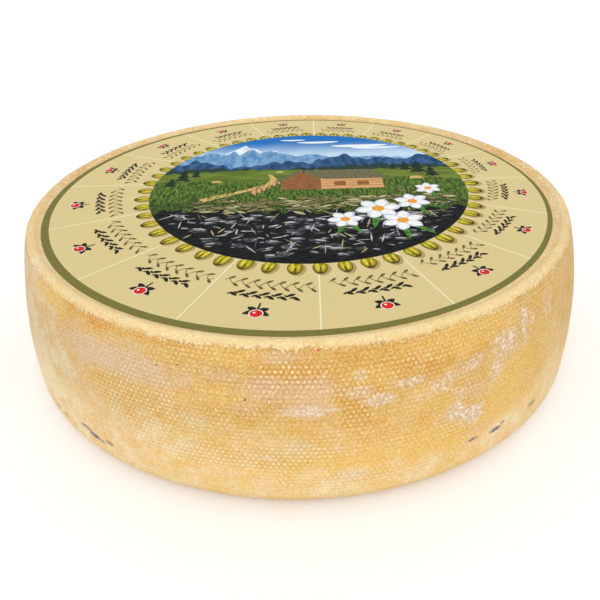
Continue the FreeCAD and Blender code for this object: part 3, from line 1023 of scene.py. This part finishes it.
def make_picture():
    """A plain alpine scene: peaks at the left, firs, a hut, a fenced path and stones in front."""
    names = ["sky", "cloud", "snow", "far_rock", "near_rock", "fir_far", "fir", "meadow_far", "meadow",
             "grass", "timber", "timber_dark", "roof", "hay", "straw", "soil", "stone", "stone_light",
             "petal", "petal_shade", "flower_eye", "leaf", "leaf_dry", "leaf_pale", "leaf_edge"]
    sheet = Print("label_picture", names, 0.11)
    draw = random.Random(5)
    sheet.disc(PICTURE_MIDDLE, PICTURE_RADIUS, "sky", 180)
    for px, py, long, tall in [(34, 66, 17, 2.4), (44, 62, 15, 1.8), (8, 74, 13, 1.8), (-8, 79, 8, 1.2)]:
        outline = [(long * math.cos(a) * (1 + 0.08 * math.sin(5 * a)), tall * math.sin(a) * (1 + 0.2 * math.sin(3 * a)))
                   for a in [2 * math.pi * k / 36 for k in range(36)]]
        sheet.shape([in_picture(px + dx, py + dy) for dx, dy in outline], "cloud")

    far = ridge(44, [(-38, 26, 26), (-20, 18, 20), (-58, 16, 24), (2, 9, 20), (30, 4, 30)], 1.6, 31)
    land(sheet, far, "far_rock")
    snow_line = ridge(57, [(-44, 4, 6), (-33, 5, 5), (-22, 5, 6), (-56, 4, 6)], 3.4, 32)
    land(sheet, far, "snow", low=-66, high=-6, floor=snow_line)
    near = ridge(34, [(22, 17, 28), (46, 12, 22), (-12, 8, 24), (-66, 12, 20), (70, 15, 20)], 1.8, 33)
    land(sheet, near, "near_rock")
    land(sheet, ridge(29, [(40, 5, 50), (-60, 4, 40)], 1.2, 34), "fir_far", count=400)
    land(sheet, ridge(25, [(-30, 4, 60), (60, 2, 40)], 0.8, 35), "meadow_far")
    land(sheet, ridge(8, [(30, 9, 60), (-70, 8, 50)], 0.9, 36), "meadow")

    # A pale path winds down from the hut, with a fence beside it.
    left, right = [], []
    for k in range(31):
        share = k / 30
        middle = -22 - 30 * share + 11 * math.sin(share * 4.4)
        level = 21 - 38 * share
        half = 1.0 + 4.2 * share
        left.append(in_picture(middle - half, level))
        right.append(in_picture(middle + half, level))
    sheet.shape(left + right[::-1], "hay")
    for k in range(9):
        share = k / 8
        px, py, tall = -8 - 22 * share, 16 - 24 * share, 3.6 + 3.4 * share
        wide = 0.5 + 0.5 * share
        sheet.shape([in_picture(px - wide, py), in_picture(px + wide, py),
                     in_picture(px + wide, py + tall), in_picture(px - wide, py + tall)], "timber")
    for rail in (0.45, 0.8):
        near_end = in_picture(-31.5, -8.6 + 7.2 * rail)
        far_end = in_picture(-7, 16 + 3.7 * rail)
        sheet.shape([near_end, far_end, (far_end[0], far_end[1] + 0.5), (near_end[0], near_end[1] + 1.0)],
                    "timber")
    for px, py, size in [(-2, 22, 9), (3, 23, 7), (58, 22, 15), (65, 18, 19), (51, 24, 10), (72, 12, 16),
                         (-72, 14, 17), (-65, 19, 12), (-78, 6, 13)]:
        fir_tree(sheet, px, py, size)
    for px, py, size in [(-52, 11, 3), (-16, 24, 2.4), (62, 10, 4)]:
        heap = [(math.cos(a) * size, max(math.sin(a), -0.12) * size * 0.9)
                for a in [math.pi * 2 * k / 28 for k in range(28)]]
        sheet.shape([in_picture(px + dx, py + dy) for dx, dy in heap], "hay")
    hut(sheet, 10, -2, 25)

    # Dark ground in front, with stones that catch the light.
    land(sheet, ridge(-22, [(-60, 8, 60), (50, 4, 50)], 2.2, 37), "grass")
    land(sheet, ridge(-31, [(-58, 6, 40), (0, -3, 30)], 3.0, 38), "soil")
    for _ in range(230):
        px, py = draw.uniform(-78, 78), draw.uniform(-85, -34)
        size = draw.uniform(1.2, 4.6)
        if math.hypot(px, py) + size * 1.5 > PICTURE_RADIUS - 0.5:
            continue
        tilt = draw.uniform(-25, 25)
        outline = [(size * draw.uniform(0.75, 1.25) * math.cos(2 * math.pi * k / 7),
                    size * 0.5 * draw.uniform(0.7, 1.2) * math.sin(2 * math.pi * k / 7))
                   for k in range(7)]
        sheet.shape(turned(outline, in_picture(px, py), tilt), "stone")
        lit = [(ox * 0.72 - size * 0.1, oy * 0.4 + size * 0.16) for ox, oy in outline]
        if draw.random() < 0.55:
            sheet.shape(turned(lit, in_picture(px, py), tilt), "stone_light")
    for _ in range(260):
        px, py = draw.uniform(-80, 80), draw.uniform(-85, -28)
        long = draw.uniform(3, 12)
        if math.hypot(px, py) + long > PICTURE_RADIUS - 0.5:
            continue
        ink = draw.choice(("stone_light", "stone_light", "stone", "soil", "straw"))
        blade = petal(long, draw.uniform(0.35, 1.0))
        sheet.shape(turned(blade, in_picture(px, py), draw.uniform(0, 360)), ink)
    for _ in range(330):
        px, py = draw.uniform(-84, 84), draw.uniform(-30, 4)
        if math.hypot(px, py) > PICTURE_RADIUS - 8 or (0 < px + 16 < 66 and py > -6):
            continue
        blade = petal(draw.uniform(3, 8), draw.uniform(0.4, 0.9), 0.3)
        ink = draw.choice(("leaf", "grass", "grass", "meadow_far", "leaf_dry"))
        sheet.shape(turned(blade, in_picture(px, py), draw.uniform(50, 130)), ink)
    # Fallen leaves lie along the edge of the dark ground, thickest at the left and in the middle.
    for _ in range(170):
        px = draw.uniform(-58, 74)
        py = -21 + draw.gauss(0, 4.5) + 0.05 * px
        if math.hypot(px, py) > PICTURE_RADIUS - 9:
            continue
        long, way = draw.uniform(6, 9.5), draw.uniform(-35, 35) + draw.choice((0, 180))
        foot = in_picture(px, py)
        ink = "leaf_dry" if draw.random() < 0.7 else "leaf_pale"
        sheet.shape(turned(petal(long, long * 0.42), foot, way), "leaf_edge")
        sheet.shape(turned(petal(long * 0.92, long * 0.30), at(foot, long * 0.04, way), way), ink)

    # White flowers at the right, in front of the hut.
    flowers = [(36, -30, 12.5, 10), (55, -22, 10.0, 40), (47, -45, 11.5, 22), (18, -42, 9.5, 5), (66, -5, 7.5, 30)]
    for px, py, size, turn in flowers:
        for way in (250 + turn, 290 + turn):
            sheet.shape(turned(petal(size * 1.9, size * 0.3), in_picture(px, py), way), "leaf")
    for px, py, size, turn in flowers:
        blossom(sheet, px, py, size, turn)
    return sheet.build()


# ---------------------------------------------------------------- camera, light and floor

# From the middle of the label: distance and elevation of the camera, then how it is turned.
CAMERA_DISTANCE = 401.3
CAMERA_ELEVATION = 23.513
CAMERA_PITCH = 31.680
CAMERA_ROLL = -1.588
CAMERA_LENS = 43.6

# To the camera alone, the floor is this light and gives this much light of its own.
FLOOR_SEEN = 0.98
FLOOR_LIFT = 0.07


def make_camera():
    data = bpy.data.cameras.new("camera")
    data.sensor_width = 36
    data.lens = CAMERA_LENS
    data.clip_start = 0.01
    camera = bpy.data.objects.new("camera", data)
    bpy.context.scene.collection.objects.link(camera)
    rise = math.radians(CAMERA_ELEVATION)
    place = Vector((0, -math.cos(rise) * CAMERA_DISTANCE, math.sin(rise) * CAMERA_DISTANCE + LABEL_TOP)) * MM
    turn = Matrix.Rotation(math.radians(90 - CAMERA_PITCH), 4, "X") @ Matrix.Rotation(
        math.radians(CAMERA_ROLL), 4, "Z"
    )
    camera.matrix_world = Matrix.Translation(place) @ turn
    bpy.context.scene.camera = camera


def make_sun(name, azimuth, elevation, spread, power):
    """A very soft sun that shines from an azimuth and elevation, all in degrees."""
    data = bpy.data.lights.new(name, "SUN")
    data.angle = math.radians(spread)
    data.energy = power
    lamp = bpy.data.objects.new(name, data)
    bpy.context.scene.collection.objects.link(lamp)
    flat, rise = math.radians(azimuth), math.radians(elevation)
    way = Vector((math.cos(flat) * math.cos(rise), math.sin(flat) * math.cos(rise), math.sin(rise)))
    lamp.matrix_world = Matrix.Translation(way) @ way.to_track_quat("Z", "Y").to_matrix().to_4x4()


def make_world(strength):
    world = bpy.data.worlds.new("world")
    bpy.context.scene.world = world
    world.use_nodes = True
    tree = world.node_tree
    light = tree.nodes["Background"]
    light.inputs["Color"].default_value = (1, 1, 1, 1)
    light.inputs["Strength"].default_value = strength
    seen = tree.nodes.new("ShaderNodeBackground")
    seen.inputs["Color"].default_value = (1, 1, 1, 1)
    seen.inputs["Strength"].default_value = 1.0
    path = tree.nodes.new("ShaderNodeLightPath")
    mix = tree.nodes.new("ShaderNodeMixShader")
    tree.links.new(path.outputs["Is Camera Ray"], mix.inputs[0])
    tree.links.new(light.outputs[0], mix.inputs[1])
    tree.links.new(seen.outputs[0], mix.inputs[2])
    tree.links.new(mix.outputs[0], tree.nodes["World Output"].inputs["Surface"])


def make_floor():
    """A pale floor that looks white to the camera and keeps the wheel's soft shadow."""
    shader = Shader("floor_surface", roughness=1.0, specular=0.0)
    path = shader.node("LightPath")
    seen = shader.math("MAXIMUM", path.outputs["Is Camera Ray"], path.outputs["Is Glossy Ray"])
    grain = shader.noise(shader.place(), 0.05, detail=1.0)
    plain = shader.mix(shader.span(grain, 0.3, 0.7), (0.70, 0.70, 0.70, 1), (0.72, 0.72, 0.72, 1))
    base = shader.mix(seen, plain, (FLOOR_SEEN, FLOOR_SEEN, FLOOR_SEEN, 1))
    shader.feed(shader.surface.inputs["Emission Color"], (1, 1, 1, 1))
    shader.feed(shader.surface.inputs["Emission Strength"], shader.math("MULTIPLY", seen, FLOOR_LIFT))
    material = shader.finish(base)
    half = 40.0 / MM
    corners = [(-half, -half, -0.02), (half, -half, -0.02), (half, half, -0.02), (-half, half, -0.02)]
    floor = mesh_object("floor", corners, [(0, 1, 2, 3)], [material], smooth_faces=False)



make_camera()
make_world(0.75)
make_sun("key", -90, 40, 50, 1.3)
make_floor()

rind = make_rind(rind_material())
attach(rind, "root")
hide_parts("wheel")

paper = make_paper()
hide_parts("label")
for piece in [paper, make_field(), make_beads(), make_ornaments(), make_picture()]:
    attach(piece, "root")

scene = bpy.context.scene
scene.view_settings.view_transform = "Standard"
